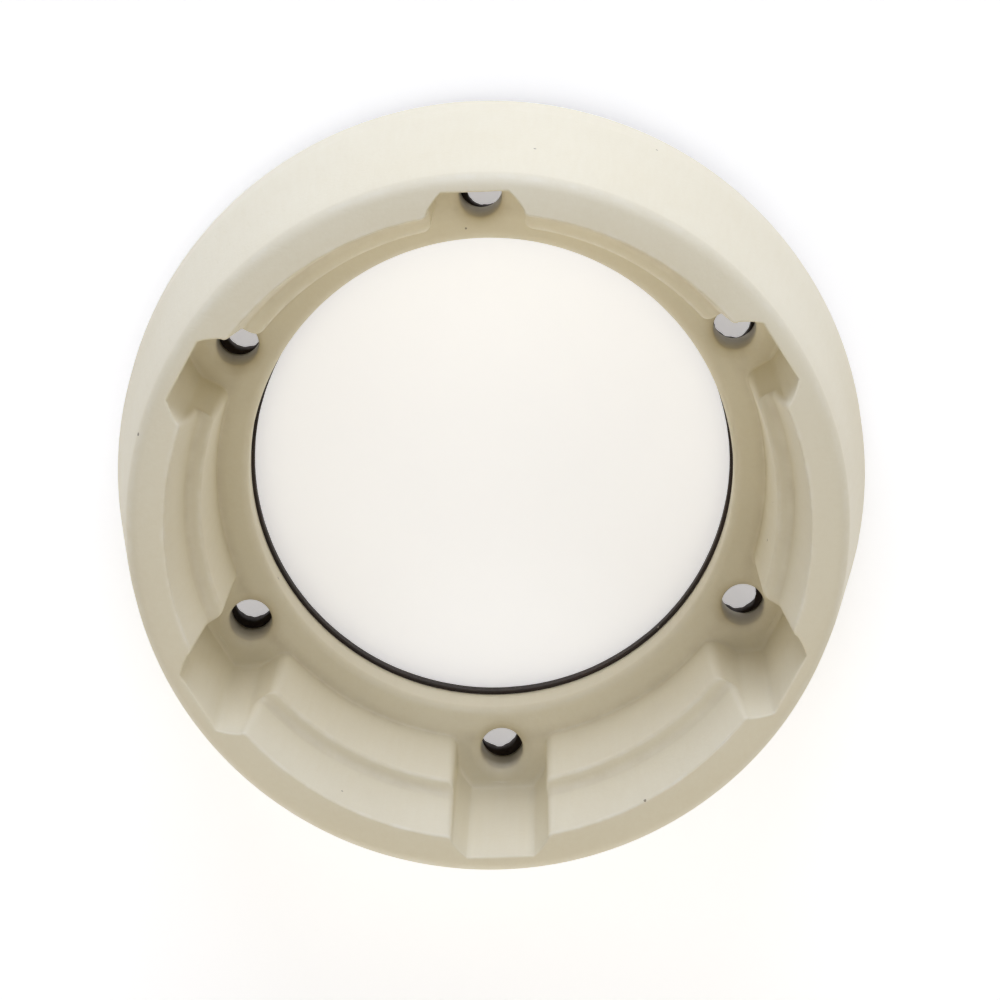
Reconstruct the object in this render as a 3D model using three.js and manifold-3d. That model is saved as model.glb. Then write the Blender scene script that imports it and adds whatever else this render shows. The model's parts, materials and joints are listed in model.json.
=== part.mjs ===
// Toilet flange: a thick moulded plastic ring that joins a toilet outlet to a 100 mm waste pipe.
// Six open pockets in its stepped funnel give a spanner room around six bolts,
// and a flat rubber gasket seals its rear face.
// Millimetres, +Z up. The origin is the centre of the mounting face, under the gasket,
// and +Z runs along the bore, towards the toilet.

import * as THREE from 'three';
import { mergeVertices } from 'three/addons/utils/BufferGeometryUtils.js';
import Module from 'manifold-3d';

const wasm = await Module();
wasm.setup();

// Driving dimensions
const roundSegments = 96;
const boltCount = 6;
const firstBoltAngle = -Math.PI / 2;
const boltCircleRadius = 60;

const gasket = {
  outerRadius: 76, innerRadius: 50.2, thickness: 3,
  boltCircleRadius: 59.3, holeRadius: 4, turn: -0.013, holeSegments: 24,
};

const body = {
  baseHeight: gasket.thickness + 0.3,
  boreRadius: 50.9,
  seatHeight: 14, floorOuterRadius: 57.6,
  ledgeHeight: 39.1, ledgeInnerRadius: 59.5, ledgeOuterRadius: 62.8,
  rimHeight: 57.1, rimInnerRadius: 66.1, rimOuterRadius: 73.8,
  skirtHeight: 14, skirtRadius: 78.4,
  bend: 6,
  edgeRound: 1, boreRound: 1.5, cornerFillet: 1,
  arcSteps: 2,
};

const pocket = {
  halfWidth: 9.5, reach: 8.2, rimReach: 10.3,
  cornerLength: 4.8, cornerWidth: 2.8, innerLength: 12,
};

const bolt = { holeRadius: 4.5, mouthRadius: 7, mouthDepth: 0.8, segments: 32 };

const overshoot = 2;

// A closed three.js geometry becomes a solid, and a solid becomes a geometry again.
function solidFrom(geometry) {
  const bare = geometry.index ? geometry.toNonIndexed() : geometry.clone();
  bare.deleteAttribute('normal');
  bare.deleteAttribute('uv');
  const merged = mergeVertices(bare, 1e-4);
  const vertProperties = new Float32Array(merged.attributes.position.array);
  const triVerts = new Uint32Array(merged.index.array);
  return new wasm.Manifold(new wasm.Mesh({ numProp: 3, vertProperties, triVerts }));
}

function geometryFrom(solid) {
  const mesh = solid.getMesh();
  const geometry = new THREE.BufferGeometry();
  geometry.setAttribute('position', new THREE.BufferAttribute(mesh.vertProperties, 3));
  geometry.setIndex(new THREE.BufferAttribute(mesh.triVerts, 1));
  geometry.computeVertexNormals();
  return geometry;
}

// Points of a round between two lines of a profile: the corner is cut back by its radius.
function roundedProfile(corners, steps) {
  const path = new THREE.Path();
  const count = corners.length;
  const towards = (from, to, distance) => from.clone().add(to.clone().sub(from).setLength(distance));
  corners.forEach(({ at, round }, i) => {
    const before = corners[(i + count - 1) % count].at;
    const after = corners[(i + 1) % count].at;
    const start = round ? towards(at, before, round) : at;
    const end = round ? towards(at, after, round) : at;
    if (i === 0) path.moveTo(start.x, start.y);
    else path.lineTo(start.x, start.y);
    if (round) path.quadraticCurveTo(at.x, at.y, end.x, end.y);
  });
  path.closePath();
  return path.getPoints(steps);
}

// A closed profile of radius and height, turned about Z.
function turned(profile, segments) {
  const points = profile.map((p) => new THREE.Vector2(Math.max(p.x, 0), p.y));
  return new THREE.LatheGeometry(points, segments).rotateX(Math.PI / 2);
}

const corner = (radius, height, round = 0) => ({ at: new THREE.Vector2(radius, height), round });

// The ring's section, from the foot of the bore out along the base, up the skirt,
// over the rim and down the funnel.
function bodySection() {
  const { edgeRound, boreRound, cornerFillet } = body;
  return roundedProfile([
    corner(body.boreRadius, body.baseHeight),
    corner(body.skirtRadius, body.baseHeight, edgeRound),
    corner(body.skirtRadius, body.skirtHeight, body.bend),
    corner(body.rimOuterRadius, body.rimHeight, edgeRound),
    corner(body.rimInnerRadius, body.rimHeight, edgeRound),
    corner(body.ledgeOuterRadius, body.ledgeHeight, cornerFillet),
    corner(body.ledgeInnerRadius, body.ledgeHeight, edgeRound),
    corner(body.floorOuterRadius, body.seatHeight, cornerFillet),
    corner(body.boreRadius, body.seatHeight, boreRound),
  ], body.arcSteps);
}

// One pocket, with the bolt's axis as its origin and the way outwards as +X. It is open towards
// the bore, its outer corners are cut off, and its end wall leans outwards as it rises.
function pocketCutter() {
  const { halfWidth, reach, cornerLength, cornerWidth, innerLength } = pocket;
  const outline = new THREE.Shape();
  outline.moveTo(-innerLength, -halfWidth);
  outline.lineTo(reach - cornerLength, -halfWidth);
  outline.lineTo(reach, cornerWidth - halfWidth);
  outline.lineTo(reach, halfWidth - cornerWidth);
  outline.lineTo(reach - cornerLength, halfWidth);
  outline.lineTo(-innerLength, halfWidth);
  outline.closePath();

  const depth = body.rimHeight - body.seatHeight;
  const geometry = new THREE.ExtrudeGeometry(outline, { depth: depth + overshoot, bevelEnabled: false });
  const position = geometry.attributes.position;
  for (let i = 0; i < position.count; i++) {
    const lean = (position.getZ(i) / depth) * (pocket.rimReach - reach);
    if (position.getX(i) > 0) position.setX(i, position.getX(i) + lean);
  }
  return solidFrom(geometry.translate(boltCircleRadius, 0, body.seatHeight));
}

// A plain or flared cylinder standing on the bolt's axis, at some distance from the bore's.
function upright(foot, head, bottom, top, distance, segments) {
  const geometry = new THREE.CylinderGeometry(head, foot, top - bottom, segments);
  return solidFrom(geometry.rotateX(Math.PI / 2).translate(distance, 0, (top + bottom) / 2));
}

function aroundBolts(visit, turn = 0) {
  for (let i = 0; i < boltCount; i++) {
    const degrees = THREE.MathUtils.radToDeg(firstBoltAngle + turn + (i * 2 * Math.PI) / boltCount);
    visit(degrees);
  }
}

// The bolt hole has a shallow flared mouth in the pocket's floor.
function boltCutter() {
  const { holeRadius, mouthRadius, mouthDepth, segments } = bolt;
  const floor = body.seatHeight;
  const shank = upright(holeRadius, holeRadius, 0, floor + overshoot, boltCircleRadius, segments);
  return shank.add(upright(holeRadius, mouthRadius, floor - mouthDepth, floor, boltCircleRadius, segments));
}

function flangeBody() {
  let solid = solidFrom(turned(bodySection(), roundSegments));
  const cutter = pocketCutter().add(boltCutter());
  aroundBolts((degrees) => { solid = solid.subtract(cutter.rotate([0, 0, degrees])); });
  return geometryFrom(solid);
}

function rearGasket() {
  const { innerRadius, outerRadius, thickness, holeRadius } = gasket;
  const section = [[innerRadius, 0], [outerRadius, 0], [outerRadius, thickness], [innerRadius, thickness]];
  const profile = [...section, section[0]].map(([radius, height]) => new THREE.Vector2(radius, height));
  let solid = solidFrom(turned(profile, roundSegments));
  const top = thickness + overshoot;
  const distance = gasket.boltCircleRadius;
  const hole = upright(holeRadius, holeRadius, -overshoot, top, distance, gasket.holeSegments);
  aroundBolts((degrees) => { solid = solid.subtract(hole.rotate([0, 0, degrees])); }, gasket.turn);
  return geometryFrom(solid);
}

const ivoryPlastic = { color: 0xe6e2d2, roughness: 0.5, metalness: 0 };
const blackRubber = { color: 0x1c1612, roughness: 0.85, metalness: 0 };

function named(name, geometry, finish) {
  const mesh = new THREE.Mesh(geometry, new THREE.MeshStandardMaterial(finish));
  mesh.name = name;
  return mesh;
}

const flange = new THREE.Group();
flange.add(named('flange_body', flangeBody(), ivoryPlastic));
flange.add(named('rear_gasket', rearGasket(), blackRubber));

export default flange;
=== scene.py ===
import json
import math

import bpy
from mathutils import Matrix, Vector

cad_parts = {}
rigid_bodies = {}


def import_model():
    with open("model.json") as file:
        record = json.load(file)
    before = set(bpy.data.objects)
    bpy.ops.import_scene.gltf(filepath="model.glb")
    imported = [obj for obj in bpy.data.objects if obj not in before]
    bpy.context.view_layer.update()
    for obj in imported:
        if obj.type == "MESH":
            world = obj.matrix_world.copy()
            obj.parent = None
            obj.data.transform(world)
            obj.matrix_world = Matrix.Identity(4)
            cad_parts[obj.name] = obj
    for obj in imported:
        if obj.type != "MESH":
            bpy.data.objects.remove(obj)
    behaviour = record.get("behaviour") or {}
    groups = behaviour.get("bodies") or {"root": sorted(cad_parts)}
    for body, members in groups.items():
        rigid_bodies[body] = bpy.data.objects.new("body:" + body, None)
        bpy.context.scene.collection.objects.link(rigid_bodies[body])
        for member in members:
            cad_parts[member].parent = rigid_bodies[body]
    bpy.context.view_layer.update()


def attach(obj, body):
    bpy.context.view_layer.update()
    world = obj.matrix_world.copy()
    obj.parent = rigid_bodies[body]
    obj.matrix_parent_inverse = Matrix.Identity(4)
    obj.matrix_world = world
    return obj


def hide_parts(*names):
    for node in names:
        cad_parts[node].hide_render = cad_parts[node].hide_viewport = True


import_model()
mm = 0.001
turn = 2 * math.pi


# Nodes: a Wire is a socket that Python's operators work on, and a Graph adds the nodes.
class Wire:
    def __init__(self, graph, socket):
        self.graph = graph
        self.socket = socket

    def out(self, name):
        return Wire(self.graph, self.socket.node.outputs[name])

    def __add__(self, other):
        return self.graph.maths("ADD", self, other)

    def __radd__(self, other):
        return self.graph.maths("ADD", other, self)

    def __sub__(self, other):
        return self.graph.maths("SUBTRACT", self, other)

    def __rsub__(self, other):
        return self.graph.maths("SUBTRACT", other, self)

    def __mul__(self, other):
        return self.graph.maths("MULTIPLY", self, other)

    def __rmul__(self, other):
        return self.graph.maths("MULTIPLY", other, self)

    def __truediv__(self, other):
        return self.graph.maths("DIVIDE", self, other)

    def __rtruediv__(self, other):
        return self.graph.maths("DIVIDE", other, self)

    def __pow__(self, other):
        return self.graph.maths("POWER", self, other)

    def __gt__(self, other):
        return self.graph.maths("GREATER_THAN", self, other)

    def __lt__(self, other):
        return self.graph.maths("LESS_THAN", self, other)


class Graph:
    def __init__(self, tree):
        self.tree = tree

    def node(self, kind, settings=None, feeds=None, out=0):
        made = self.tree.nodes.new(kind)
        for name, value in (settings or {}).items():
            if name == "stops":
                self.fillRamp(made.color_ramp, value)
            else:
                setattr(made, name, value)
        for name, value in (feeds or {}).items():
            self.feed(made.inputs[name], value)
        return Wire(self, made.outputs[out]) if made.outputs else None

    def fillRamp(self, ramp, stops):
        while len(ramp.elements) < len(stops):
            ramp.elements.new(1.0)
        for element, (place, colour) in zip(ramp.elements, stops):
            element.position = place
            element.color = colour

    def feed(self, socket, value):
        for one in value if isinstance(value, list) else [value]:
            if isinstance(one, Wire):
                self.tree.links.new(one.socket, socket)
            else:
                socket.default_value = one

    def maths(self, operation, *values):
        return self.node("ShaderNodeMath", {"operation": operation}, dict(enumerate(values)))

    def clamped(self, value):
        return self.node("ShaderNodeClamp", None, {"Value": value})

    def cos(self, angle):
        return self.maths("COSINE", angle)

    def sin(self, angle):
        return self.maths("SINE", angle)


# Geometry Nodes
def shapeTree(name, inputs):
    tree = bpy.data.node_groups.new(name, "GeometryNodeTree")
    for label, kind in inputs.items():
        tree.interface.new_socket(name=label, in_out="INPUT", socket_type="NodeSocket" + kind)
    tree.interface.new_socket(name="Geometry", in_out="OUTPUT", socket_type="NodeSocketGeometry")
    graph = Graph(tree)
    asked = graph.node("NodeGroupInput")
    graph.result = tree.nodes.new("NodeGroupOutput").inputs[0]
    return graph, {label: asked.out(label) for label in inputs}


def makePiece(name, graph, values):
    piece = bpy.data.objects.new(name, bpy.data.meshes.new(name))
    bpy.context.scene.collection.objects.link(piece)
    modifier = piece.modifiers.new("shape", "NODES")
    modifier.node_group = graph.tree
    for item in graph.tree.interface.items_tree:
        if item.in_out == "INPUT":
            modifier[item.identifier] = values[item.name]
    ready = piece.evaluated_get(bpy.context.evaluated_depsgraph_get())
    mesh = bpy.data.meshes.new_from_object(ready)
    piece.modifiers.clear()
    piece.data = mesh
    mesh.name = name
    return piece


# A section is a line of corners (radius, height, round, cuts), each cut back to an arc.
def arcPoints(before, at, after, radius, steps):
    toBefore = (before - at).normalized()
    toAfter = (after - at).normalized()
    half = toBefore.angle(toAfter) / 2
    centre = at + (toBefore + toAfter).normalized() * radius / math.sin(half)
    first = at + toBefore * radius / math.tan(half) - centre
    sweep = math.pi - 2 * half
    sign = 1 if first.x * toAfter.y - first.y * toAfter.x > 0 else -1
    points = []
    for step in range(steps + 1):
        angle = sign * sweep * step / steps
        points.append(centre + Matrix.Rotation(angle, 2) @ first)
    return points


def sectionPoints(corners, steps):
    points = []
    ends = [Vector(corner[:2]) for corner in corners]
    for i, (radius, height, bend, cuts) in enumerate(corners):
        if bend:
            arc = arcPoints(ends[i - 1], ends[i], ends[(i + 1) % len(ends)], bend, steps)
        else:
            arc = [ends[i]]
        if points and cuts:
            start = points[-1][0]
            points += [(start.lerp(arc[0], c / (cuts + 1)), i - 0.5) for c in range(1, cuts + 1)]
        points += [(point, i) for point in arc]
    return points


def sectionObject(name, points, marks):
    mesh = bpy.data.meshes.new(name)
    rows = [(p.x * mm, 0, p.y * mm) for p in points]
    mesh.from_pydata(rows, [(i, i + 1) for i in range(len(rows) - 1)], [])
    for label, numbers in marks.items():
        mesh.attributes.new(label, "FLOAT", "POINT").data.foreach_set("value", numbers)
    line = bpy.data.objects.new(name, mesh)
    bpy.context.scene.collection.objects.link(line)
    return line


# Rows of a section against columns round the axis: a grid whose points are then placed.
def roundGrid(graph, section, columns):
    line = graph.node("GeometryNodeObjectInfo", None, {"Object": section}, "Geometry")
    rows = graph.node("GeometryNodeAttributeDomainSize", None, {"Geometry": line}, "Point Count")
    grid = graph.node("GeometryNodeMeshGrid", None, {"Vertices X": columns + 1, "Vertices Y": rows})
    index = graph.node("GeometryNodeInputIndex")
    column = graph.maths("FLOOR", (index + 0.5) / rows)
    row = index - column * rows

    def atRow(value, kind):
        settings = {"data_type": kind, "domain": "POINT"}
        feeds = {"Geometry": line, "Index": row, "Value": value}
        return graph.node("GeometryNodeSampleIndex", settings, feeds)

    place = graph.node("GeometryNodeInputPosition")
    radius = graph.node("ShaderNodeSeparateXYZ", None, {0: atRow(place, "FLOAT_VECTOR")})

    def mark(label):
        settings = {"data_type": "FLOAT"}
        named = graph.node("GeometryNodeInputNamedAttribute", settings, {"Name": label})
        return atRow(named, "FLOAT")

    return grid, column, radius, radius.out("Z"), mark


def placed(graph, grid, x, y, z, angle=0.0):
    flat = graph.node("ShaderNodeCombineXYZ", None, {"X": x, "Y": y, "Z": z})
    spun = graph.node("ShaderNodeVectorRotate", {"rotation_type": "Z_AXIS"}, {"Vector": flat, "Angle": angle})
    moved = graph.node("GeometryNodeSetPosition", None, {"Geometry": grid, "Position": spun})
    moved = graph.node("GeometryNodeFlipFaces", None, {"Mesh": moved})  # outwards
    return graph.node("GeometryNodeMergeByDistance", None, {"Geometry": moved, "Distance": 1e-6})


def boltPoints(graph, count, radius, first):
    ring = graph.node("GeometryNodeMeshCircle", None, {"Vertices": count, "Radius": radius})
    spin = graph.node("ShaderNodeCombineXYZ", None, {"Z": first})
    return graph.node("GeometryNodeTransform", None, {"Geometry": ring, "Rotation": spin})


def copied(graph, cutter, points):
    copies = graph.node("GeometryNodeInstanceOnPoints", None, {"Points": points, "Instance": cutter})
    return graph.node("GeometryNodeRealizeInstances", None, {"Geometry": copies})


def bored(graph, solid, cutters):
    settings = {"operation": "DIFFERENCE", "solver": "EXACT"}
    return graph.node("GeometryNodeMeshBoolean", settings, {"Mesh 1": solid, "Mesh 2": [cutters]})


def finished(graph, solid, material):
    whole = graph.node("GeometryNodeRealizeInstances", None, {"Geometry": solid})
    whole = graph.node("GeometryNodeSetShadeSmooth", None, {"Geometry": whole})
    feeds = {"Geometry": whole, "Material": material}
    graph.feed(graph.result, graph.node("GeometryNodeSetMaterial", None, feeds))


# Flange body: a stepped funnel whose walls open into six pockets, in millimetres
body = {
    "base": 3.3, "boreRadius": 50.9, "seat": 14.0, "floorRadius": 57.6,
    "ledge": 39.1, "ledgeInner": 59.5, "ledgeOuter": 62.8,
    "rim": 57.1, "rimInner": 66.1, "rimOuter": 73.8, "ledgeFall": 0.12, "crown": 2.4,
    "skirt": 14.0, "skirtRadius": 78.4, "bend": 14.0,
    "boreRound": 1.9, "floorFillet": 0.7, "ledgeRound": 1.0, "ledgeFillet": 2.0,
    "rimInnerRound": 0.6, "rimOuterRound": 2.6, "baseRound": 1.2, "arcSteps": 7,
    "crownFrom": 0.8, "crownCurve": 1.2,  # share of the rim's height where the fall begins, and its power
}
pocket = {  # the bulge and the toe are ratios
    "Bolt circle": 60.0, "Half width": 9.45, "Rim half width": 9.9, "Reach": 8.2, "Rim reach": 10.3,
    "Corner length": 4.8, "Corner width": 3.0, "Corner bulge": 0.2, "Edge round": 2.4, "Rim edge round": 1.3,
    "Toe": 2.0,
}
bolt = {"radius": 4.5, "mouthRadius": 7.2, "mouthDepth": 1.3, "mouthLift": 0.04, "headroom": 2.0,
        "steps": 10, "columns": 72}
boltCount = 6
firstBolt = -turn / 4
# Columns in each stretch of half a sector, and the degrees that they take where the ring is plain
columnCounts = {"end": 5, "corner": 9, "side": 6, "edge": 6, "wall": 18}
columnSpread = {"end": 5.2, "corner": 2.8, "side": 1.0, "edge": 1.5, "wall": 19.5}


def bodySection():
    b = body
    corners = [
        (b["boreRadius"], b["base"], 0, 0),
        (b["boreRadius"], b["seat"], b["boreRound"], 2),
        (b["floorRadius"], b["seat"], b["floorFillet"], 0),
        (b["ledgeInner"], b["ledge"] - b["ledgeFall"], b["ledgeRound"], 6),
        (b["ledgeOuter"], b["ledge"], b["ledgeFillet"], 0),
        (b["rimInner"], b["rim"], b["rimInnerRound"], 5),
        (b["rimOuter"], b["rim"], b["rimOuterRound"], 0),
        (b["skirtRadius"], b["skirt"], b["bend"], 8),
        (b["skirtRadius"], b["base"], b["baseRound"], 1),
        (b["boreRadius"], b["base"], 0, 0),
    ]
    foot, rimEdge = 2, 5
    points = sectionPoints(corners, b["arcSteps"])
    places = [point for point, corner in points]
    isOpen = [float(foot <= corner <= rimEdge) for point, corner in points]
    spread = []
    for point, corner in points:
        if corner == foot:
            share = (point.y - b["seat"]) / (b["ledge"] - b["seat"])
            plain = b["floorRadius"] + share * (b["ledgeInner"] - b["floorRadius"])
        elif corner == rimEdge:
            share = (point.y - b["ledge"]) / (b["rim"] - b["ledge"])
            plain = b["ledgeOuter"] + share * (b["rimInner"] - b["ledgeOuter"])
        else:
            plain = point.x
        spread.append((point.x - plain) * mm)
    return sectionObject("bodySection", places, {"isOpen": isOpen, "spread": spread})


def boltSection():
    b = bolt
    floor = body["seat"] + b["mouthLift"]  # so that the flare crosses the seat at a slope
    points = [Vector((0, 0)), Vector((b["radius"], 0))]
    for step in range(b["steps"] + 1):
        angle = turn / 4 * step / b["steps"]
        radius = b["mouthRadius"] - (b["mouthRadius"] - b["radius"]) * math.cos(angle)
        points.append(Vector((radius, floor - b["mouthDepth"] * (1 - math.sin(angle)))))
    top = floor + b["headroom"]
    points += [Vector((b["mouthRadius"], top)), Vector((0, top))]
    return sectionObject("boltSection", points[::-1], {})


def revolved(graph, section, columns):
    grid, column, radius, height, mark = roundGrid(graph, section, columns)
    angle = column * turn / columns
    return placed(graph, grid, radius * graph.cos(angle), radius * graph.sin(angle), height)


def flangeTree():
    inputs = {"Section": "Object", "Bolt section": "Object", "Bolts": "Int", "First bolt": "Float",
              "Seat": "Float", "Rim": "Float", "Rim inner": "Float", "Rim outer": "Float", "Crown": "Float",
              **{label: "Float" for label in pocket}, "Material": "Material"}
    graph, asked = shapeTree("flangeShape", inputs)
    halfColumns = sum(columnCounts.values())
    perSector = 2 * halfColumns
    grid, column, radius, height, mark = roundGrid(graph, asked["Section"], asked["Bolts"] * perSector)
    sector = graph.maths("FLOOR", (column + 0.5) / perSector)
    across = column - sector * perSector - halfColumns
    away = graph.maths("ABSOLUTE", across)
    side = graph.maths("SIGN", across)

    share = {}
    start = 0
    for stretch, count in columnCounts.items():  # how far along each stretch this column is
        share[stretch] = graph.clamped((away - start) / count)
        start += count

    # the pocket's outline at this height
    spread = mark("spread")
    rise = graph.clamped((height - asked["Seat"]) / (asked["Rim"] - asked["Seat"]))
    toe = spread * (rise < 0.1) * asked["Toe"]  # a wider fillet at the foot of the end wall
    lean = rise * (asked["Rim reach"] - asked["Reach"])
    reach = asked["Bolt circle"] + asked["Reach"] + lean + spread + toe
    halfWidth = asked["Half width"] + rise * (asked["Rim half width"] - asked["Half width"]) + spread
    edge = asked["Edge round"] + rise * (asked["Rim edge round"] - asked["Edge round"]) - spread
    edgeX = graph.maths("SQRT", (radius + edge) ** 2 - (halfWidth + edge) ** 2)
    edgeAngle = graph.maths("ARCTAN2", halfWidth + edge, edgeX)
    cornerWidth = asked["Corner width"] + spread
    cornerLength = graph.maths("MINIMUM", asked["Corner length"] + spread, reach - edgeX)
    bend = share["corner"] * turn / 4
    bulge, straight = asked["Corner bulge"], (1 - asked["Corner bulge"]) * share["corner"]
    roll = turn * 0.75 - share["edge"] * (turn / 4 - edgeAngle)
    theta = edgeAngle + share["wall"] * (turn / 2 / asked["Bolts"] - edgeAngle)
    pocketX = (reach - cornerLength * (bulge * (1 - graph.cos(bend)) + straight)
               + (edgeX - reach + cornerLength) * share["side"]
               + edge * graph.cos(roll)
               + radius * (graph.cos(theta) - graph.cos(edgeAngle)))
    pocketY = ((halfWidth - cornerWidth) * share["end"]
               + cornerWidth * (bulge * graph.sin(bend) + straight)
               + edge * (graph.sin(roll) + 1)
               + radius * (graph.sin(theta) - graph.sin(edgeAngle)))

    plain = 0.0
    for stretch, degrees in columnSpread.items():
        plain = plain + share[stretch] * math.radians(degrees)
    plainX = radius * graph.cos(plain)
    plainY = radius * graph.sin(plain)
    isOpen = mark("isOpen")
    x = plainX + (pocketX - plainX) * isOpen
    y = plainY + (pocketY - plainY) * isOpen

    # the rim falls away towards its outer edge, and the outer wall's top goes with it
    outward = graph.maths("SQRT", x * x + y * y)
    outward = graph.clamped((outward - asked["Rim inner"]) / (asked["Rim outer"] - asked["Rim inner"]))
    near = graph.clamped((height / asked["Rim"] - body["crownFrom"]) / (1 - body["crownFrom"]))
    height = height - asked["Crown"] * outward ** body["crownCurve"] * near
    angle = asked["First bolt"] + sector * turn / asked["Bolts"]
    shell = placed(graph, grid, x, y * side, height, angle)

    cutter = revolved(graph, asked["Bolt section"], bolt["columns"])
    points = boltPoints(graph, asked["Bolts"], asked["Bolt circle"], asked["First bolt"])
    finished(graph, bored(graph, shell, copied(graph, cutter, points)), asked["Material"])
    return graph


def makeBody(material):
    ratios = ("Corner bulge", "Toe")
    sizes = {label: value * (1 if label in ratios else mm) for label, value in pocket.items()}
    section, boltLine = bodySection(), boltSection()
    values = {"Section": section, "Bolt section": boltLine, "Bolts": boltCount, "First bolt": firstBolt,
              "Seat": body["seat"] * mm, "Rim": body["rim"] * mm, "Rim inner": body["rimInner"] * mm,
              "Rim outer": body["rimOuter"] * mm, "Crown": body["crown"] * mm, **sizes,
              "Material": material}
    piece = makePiece("flangeBody", flangeTree(), values)
    for line in (section, boltLine):
        bpy.data.objects.remove(line)
    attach(piece, "root")
    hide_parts("flange_body")
    print("flange body:", len(piece.data.polygons), "faces")
    return piece


# Rear gasket
gasket = {
    "innerRadius": 50.2, "outerRadius": 76.0, "thickness": 3.25,
    "edgeRound": 0.35, "columns": 360, "holeSides": 64, "holeRows": 6, "tearScale": 420.0,
}
gasketHoles = {"Bolt circle": 59.3, "Hole radius": 4.0, "Turn": -0.013, "Raggedness": 0.25}


def gasketTree():
    inputs = {"Section": "Object", "Bolts": "Int", "First bolt": "Float", "Bolt circle": "Float",
              "Hole radius": "Float", "Hole depth": "Float", "Turn": "Float", "Raggedness": "Float",
              "Material": "Material"}
    graph, asked = shapeTree("gasketShape", inputs)
    grid, column, radius, height, mark = roundGrid(graph, asked["Section"], gasket["columns"])
    angle = column * turn / gasket["columns"]

    def ragged(scale, seed):
        feeds = {"X": graph.cos(angle), "Y": graph.sin(angle), "Z": seed}
        ring = graph.node("ShaderNodeCombineXYZ", None, feeds)
        feeds = {"Vector": ring, "Scale": scale, "Detail": 3.0}
        return graph.node("ShaderNodeTexNoise", {"noise_dimensions": "3D"}, feeds) - 0.5

    wavy = radius + asked["Raggedness"] * (ragged(2.0, 4.0) + ragged(14.0, 9.0) * 0.4)
    ring = placed(graph, grid, wavy * graph.cos(angle), wavy * graph.sin(angle), height)

    feeds = {"Vertices": gasket["holeSides"], "Side Segments": gasket["holeRows"],
             "Radius": asked["Hole radius"], "Depth": asked["Hole depth"] * 3}
    hole = graph.node("GeometryNodeMeshCylinder", None, feeds)
    first = asked["First bolt"] + asked["Turn"]
    points = boltPoints(graph, asked["Bolts"], asked["Bolt circle"], first)
    holes = copied(graph, hole, points)

    place = graph.node("GeometryNodeInputPosition")
    feeds = {"Vector": place, "Scale": gasket["tearScale"], "Detail": 2.0}
    tears = graph.node("ShaderNodeTexNoise", None, feeds, "Color")
    tears = graph.node("ShaderNodeVectorMath", {"operation": "SUBTRACT"}, {0: tears, 1: (0.5, 0.5, 0.5)})
    tears = graph.node("ShaderNodeVectorMath", {"operation": "MULTIPLY"}, {0: tears, 1: (1.0, 1.0, 0.0)})
    feeds = {0: tears, "Scale": asked["Raggedness"] * 4}
    shift = graph.node("ShaderNodeVectorMath", {"operation": "SCALE"}, feeds)
    holes = graph.node("GeometryNodeSetPosition", None, {"Geometry": holes, "Offset": shift})
    finished(graph, bored(graph, ring, holes), asked["Material"])
    return graph


def makeGasket(material):
    g = gasket
    corners = [
        (g["innerRadius"], 0, g["edgeRound"], 0),
        (g["innerRadius"], g["thickness"], g["edgeRound"], 3),
        (g["outerRadius"], g["thickness"], g["edgeRound"], 0),
        (g["outerRadius"], 0, g["edgeRound"], 3),
    ]
    points = [point for point, corner in sectionPoints(corners, 3)]
    section = sectionObject("gasketSection", points + [points[0]], {})
    values = {"Section": section, "Bolts": boltCount, "First bolt": firstBolt,
              "Bolt circle": gasketHoles["Bolt circle"] * mm, "Hole radius": gasketHoles["Hole radius"] * mm,
              "Hole depth": g["thickness"] * mm, "Turn": gasketHoles["Turn"],
              "Raggedness": gasketHoles["Raggedness"] * mm, "Material": material}
    piece = makePiece("rearGasket", gasketTree(), values)
    bpy.data.objects.remove(section)
    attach(piece, "root")
    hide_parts("rear_gasket")
    print("rear gasket:", len(piece.data.polygons), "faces")
    return piece


# Materials
def newMaterial(name):
    material = bpy.data.materials.new(name)
    material.use_nodes = True
    graph = Graph(material.node_tree)
    graph.tree.nodes.clear()
    graph.place = graph.node("ShaderNodeTexCoord", None, None, "Object")
    return material, graph


def noise(graph, scale, detail=2.0, shift=0.0, stretch=(1.0, 1.0, 1.0)):
    feeds = {"Vector": graph.place, "Location": (shift, shift, shift), "Scale": stretch}
    moved = graph.node("ShaderNodeMapping", None, feeds)
    return graph.node("ShaderNodeTexNoise", None, {"Vector": moved, "Scale": scale, "Detail": detail})


def mixed(graph, factor, first, second):
    feeds = {0: factor, 6: first, 7: second}  # the colour sockets of a Mix node
    return graph.node("ShaderNodeMix", {"data_type": "RGBA"}, feeds, 2)


def surface(graph, feeds, bump=None, bumpDistance=0.0):
    feeds = dict(feeds)
    if bump is not None:
        raised = {"Height": bump, "Distance": bumpDistance, "Strength": 1.0}
        feeds["Normal"] = graph.node("ShaderNodeBump", None, raised)
    shader = graph.node("ShaderNodeBsdfPrincipled", None, feeds)
    graph.node("ShaderNodeOutputMaterial", None, {"Surface": shader})


# Widths and bump in millimetres, amounts from 0 to 1
plastic = {
    "pale": (0.80, 0.745, 0.585, 1), "warm": (0.75, 0.68, 0.505, 1), "speck": (0.16, 0.12, 0.08, 1),
    # grime: a brown for dirt and for painted shade in the hollows
    "worn": (0.84, 0.80, 0.68, 1), "grimeAndShade": (0.36, 0.27, 0.16, 1),
    "specular": 0.4, "roughness": 0.5, "bump": 0.09,
    "wearWidth": 1.3, "wearAmount": 0.65, "grimeShadeWidth": 2.2, "mouthGrimeShade": 3.5, "grimeShadeAmount": 0.28,
    "speckSize": 0.06, "speckShare": 0.20, "speckAmount": 0.75,
}


def nearRings(graph, radius, height, rings, width):
    total = 0.0
    for ringRadius, ringHeight in rings:
        aside, above = radius - ringRadius * mm, height - ringHeight * mm
        away = graph.maths("SQRT", aside * aside + above * above)
        total = graph.clamped(1 - away / (width * mm)) + total
    return total


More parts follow.
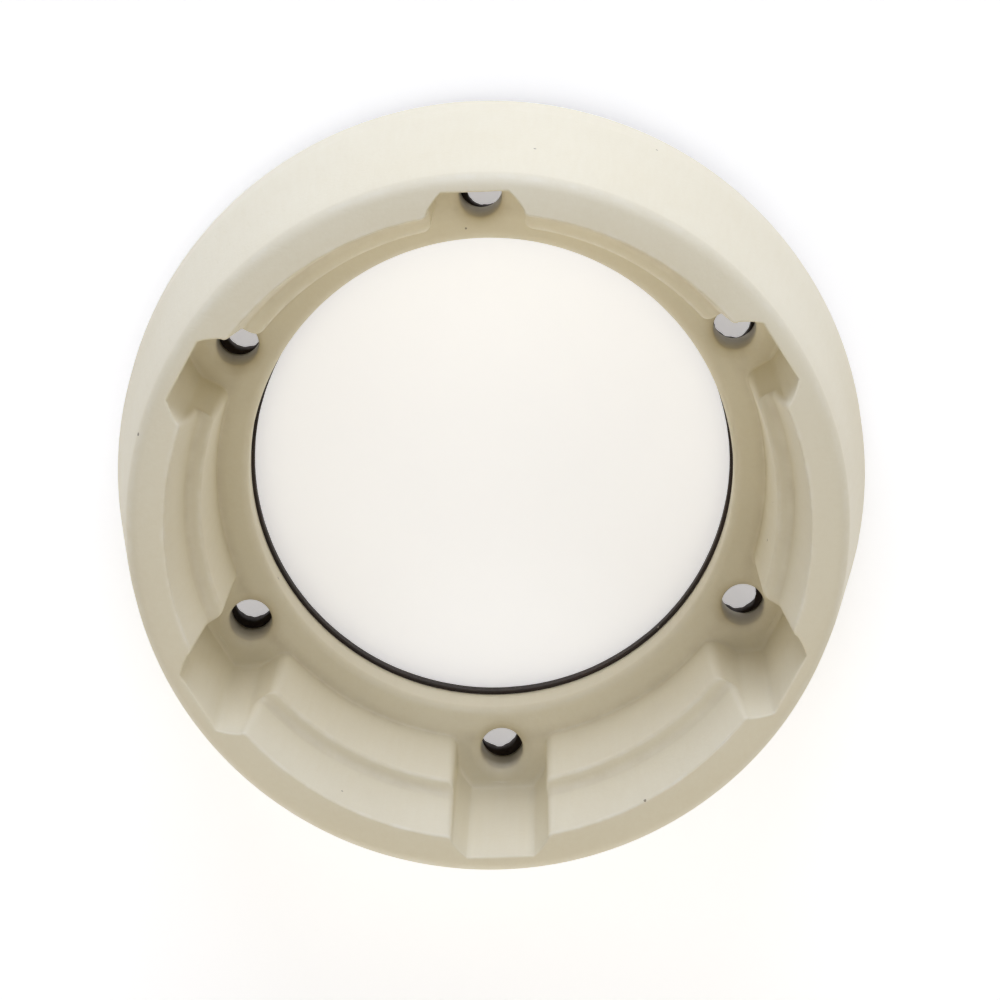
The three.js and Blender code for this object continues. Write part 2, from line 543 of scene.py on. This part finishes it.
def nearBolts(graph, x, y, radius):
    sector = turn / boltCount
    angle = graph.maths("ARCTAN2", y, x) - firstBolt
    angle = angle - graph.maths("ROUND", angle / sector) * sector
    circle = pocket["Bolt circle"] * mm
    along, aside = radius * graph.cos(angle) - circle, radius * graph.sin(angle)
    away = graph.maths("SQRT", along * along + aside * aside)
    return graph.clamped(1 - (away - bolt["radius"] * mm) / (plastic["mouthGrimeShade"] * mm))


def ivoryPlastic():
    material, graph = newMaterial("ivoryPlastic")
    p, b = plastic, body
    x = graph.node("ShaderNodeSeparateXYZ", None, {0: graph.place})
    y, z = x.out("Y"), x.out("Z")
    radius = graph.maths("SQRT", x * x + y * y)

    clouds = noise(graph, 22.0, 3.0)
    grain = noise(graph, 1400.0, 2.0, 0.3)
    drawMarks = noise(graph, 700.0, stretch=(1.0, 1.0, 0.04))  # from the mould, up the walls
    tone = graph.clamped((clouds - 0.35) * 1.3 + (grain - 0.5) * 0.35 + (drawMarks - 0.5) * 0.5)
    colour = mixed(graph, tone, p["pale"], p["warm"])

    edges = [(b["rimInner"], b["rim"]), (b["rimOuter"], b["rim"] - b["crown"]),
             (b["ledgeInner"], b["ledge"]), (b["boreRadius"], b["seat"])]
    rubbed = graph.clamped((noise(graph, 260.0, 4.0, 0.9) - 0.44) * 5.0)
    wear = graph.clamped(nearRings(graph, radius, z, edges, p["wearWidth"]) * rubbed)
    colour = mixed(graph, wear * p["wearAmount"], colour, p["worn"])

    # Painted shade and dirt: the grime colour darkens the inner corners at the foot of the floor and of the
    # ledge, and the dish round each bolt mouth. It stands partly for dirt and partly for the shade that falls
    # in these hollows.
    shadedNooks = [(b["floorRadius"], b["seat"]), (b["ledgeOuter"], b["ledge"])]
    grimeShadePatches = graph.clamped((noise(graph, 180.0, 4.0, 0.1) - 0.30) * 2.2)
    mouths = nearBolts(graph, x, y, radius) * (z < (b["seat"] + 1) * mm)
    grimeAndShade = graph.clamped((nearRings(graph, radius, z, shadedNooks, p["grimeShadeWidth"]) + mouths * 0.8) * grimeShadePatches)
    colour = mixed(graph, grimeAndShade * p["grimeShadeAmount"], colour, p["grimeAndShade"])

    cell = graph.node("ShaderNodeTexVoronoi", None, {"Vector": graph.place, "Scale": 150.0}, "Distance")
    chance = graph.maths("FRACT", cell.out("Color") * 7.0)
    speck = (cell < chance * p["speckSize"]) * (chance > 1 - p["speckShare"])
    colour = mixed(graph, speck * p["speckAmount"], colour, p["speck"])

    scuffs = graph.clamped((noise(graph, 160.0, 5.0, stretch=(1.0, 6.0, 1.0)) - 0.60) * 8.0)
    roughness = graph.clamped(p["roughness"] + (clouds - 0.5) * 0.15 + (grain - 0.5) * 0.12
                              + grimeAndShade * 0.15 + scuffs * 0.10 - wear * 0.12)
    height = grain * 0.35 + noise(graph, 90.0, 2.0, 0.5) + drawMarks * 0.25 - scuffs * 0.15
    feeds = {"Base Color": colour, "Roughness": roughness, "Specular IOR Level": p["specular"]}
    surface(graph, feeds, height, p["bump"] * mm)
    return material


rubber = {
    "dark": (0.016, 0.010, 0.008, 1), "brown": (0.040, 0.022, 0.016, 1), "dust": (0.30, 0.27, 0.23, 1),
    "roughness": 0.72, "bump": 0.1, "dustAmount": 0.7,
}


def blackRubber():
    material, graph = newMaterial("blackRubber")
    r = rubber
    clouds = noise(graph, 55.0, 3.0)
    grain = noise(graph, 1800.0, 3.0, 0.4)
    cell = graph.node("ShaderNodeTexVoronoi", None, {"Vector": graph.place, "Scale": 260.0}, "Distance")
    dust = cell < (noise(graph, 90.0, 1.0, 0.2) - 0.55) * 0.6
    colour = mixed(graph, graph.clamped((clouds - 0.3) * 1.6), r["dark"], r["brown"])
    colour = mixed(graph, dust * r["dustAmount"], colour, r["dust"])
    roughness = graph.clamped(r["roughness"] + (grain - 0.5) * 0.3)
    surface(graph, {"Base Color": colour, "Roughness": roughness}, grain + clouds, r["bump"] * mm)
    return material


# Floor, lights and camera
studio = {
    "floorSize": 6.0, "floorColour": (0.85, 0.88, 0.92, 1), "floorShade": (0.84, 0.87, 0.91, 1),
    "floorGlow": 0.45, "glowColour": (1, 0.975, 0.98, 1),
    "worldColour": (1, 1, 1, 1), "worldStrength": 0.02,
}
cool, warm = (0.74, 0.81, 1.0), (1.0, 0.95, 0.87)
lamps = [  # azimuth from +X, elevation, distance and size in metres, watts, colour
    (90, 15, 2.2, 1.6, 37.0, cool),
    (60, 25, 1.0, 0.7, 1.5, warm),
    (0, 60, 1.0, 0.7, 1.0, warm),
    (315, 30, 1.0, 0.7, 2.0, warm),
    (270, 65, 1.0, 0.7, 1.0, warm),
    (270, 20, 2.2, 1.6, 4.0, warm),
    (225, 30, 1.0, 0.7, 1.8, warm),
    (180, 60, 1.0, 0.7, 1.8, warm),
]
view = {"elevation": 14.8, "azimuth": 1.0, "roll": 2.16, "distance": 1.5, "lens": 257.4, "sensor": 36.0,
        "aimRight": 1.87, "aimUp": -4.97}


def makeFloor():
    material, graph = newMaterial("paleFloor")
    tone = mixed(graph, noise(graph, 3.0), studio["floorColour"], studio["floorShade"])
    feeds = {"Base Color": tone, "Roughness": 0.9, "Emission Color": studio["glowColour"],
             "Emission Strength": studio["floorGlow"]}
    surface(graph, feeds)
    half = studio["floorSize"] / 2
    mesh = bpy.data.meshes.new("floor")
    corners = [(-half, -half, 0), (half, -half, 0), (half, half, 0), (-half, half, 0)]
    mesh.from_pydata(corners, [], [(0, 1, 2, 3)])
    mesh.materials.append(material)
    floor = bpy.data.objects.new("floor", mesh)
    bpy.context.scene.collection.objects.link(floor)
    print("floor:", studio["floorSize"], "m")


def makeLights():
    for azimuth, elevation, distance, size, watts, colour in lamps:
        lamp = bpy.data.lights.new("softbox", "AREA")
        lamp.shape = "DISK"
        lamp.size = size
        lamp.energy = watts
        lamp.color = colour
        around, above = math.radians(azimuth), math.radians(elevation)
        level = math.cos(above)
        away = Vector((math.cos(around) * level, math.sin(around) * level, math.sin(above)))
        lampObject = bpy.data.objects.new("softbox", lamp)
        bpy.context.scene.collection.objects.link(lampObject)
        lampObject.location = away * distance
        lampObject.rotation_euler = away.to_track_quat("Z", "Y").to_euler()
    world = bpy.data.worlds.new("studio")
    world.use_nodes = True
    background = world.node_tree.nodes["Background"]
    background.inputs["Color"].default_value = studio["worldColour"]
    background.inputs["Strength"].default_value = studio["worldStrength"]
    bpy.context.scene.world = world
    bpy.context.scene.view_settings.view_transform = "Standard"
    print("lights:", len(lamps))


def makeCamera():
    elevation, azimuth = math.radians(view["elevation"]), math.radians(view["azimuth"])
    away = Vector((math.sin(azimuth) * math.cos(elevation), math.sin(elevation),
                   math.cos(azimuth) * math.cos(elevation)))
    right = Vector((math.cos(azimuth), 0, -math.sin(azimuth)))
    spin = Matrix.Rotation(-math.radians(view["roll"]), 3, "Z")
    away, right = spin @ away, spin @ right
    up = away.cross(right)
    middle = Vector((0, 0, body["seat"] * mm))
    aim = middle + (right * view["aimRight"] + up * view["aimUp"]) * mm
    place = middle + away * view["distance"]
    back = (place - aim).normalized()
    across = up.cross(back).normalized()
    axes = Matrix((across, back.cross(across), back)).transposed()
    data = bpy.data.cameras.new("camera")
    data.lens, data.sensor_width = view["lens"], view["sensor"]
    data.clip_start, data.clip_end = 0.01, 50
    camera = bpy.data.objects.new("camera", data)
    bpy.context.scene.collection.objects.link(camera)
    camera.matrix_world = Matrix.Translation(place) @ axes.to_4x4()
    bpy.context.scene.camera = camera
    print("camera:", view["elevation"], "degrees off the bore")


makeBody(ivoryPlastic())
makeGasket(blackRubber())
makeFloor()
makeLights()
makeCamera()
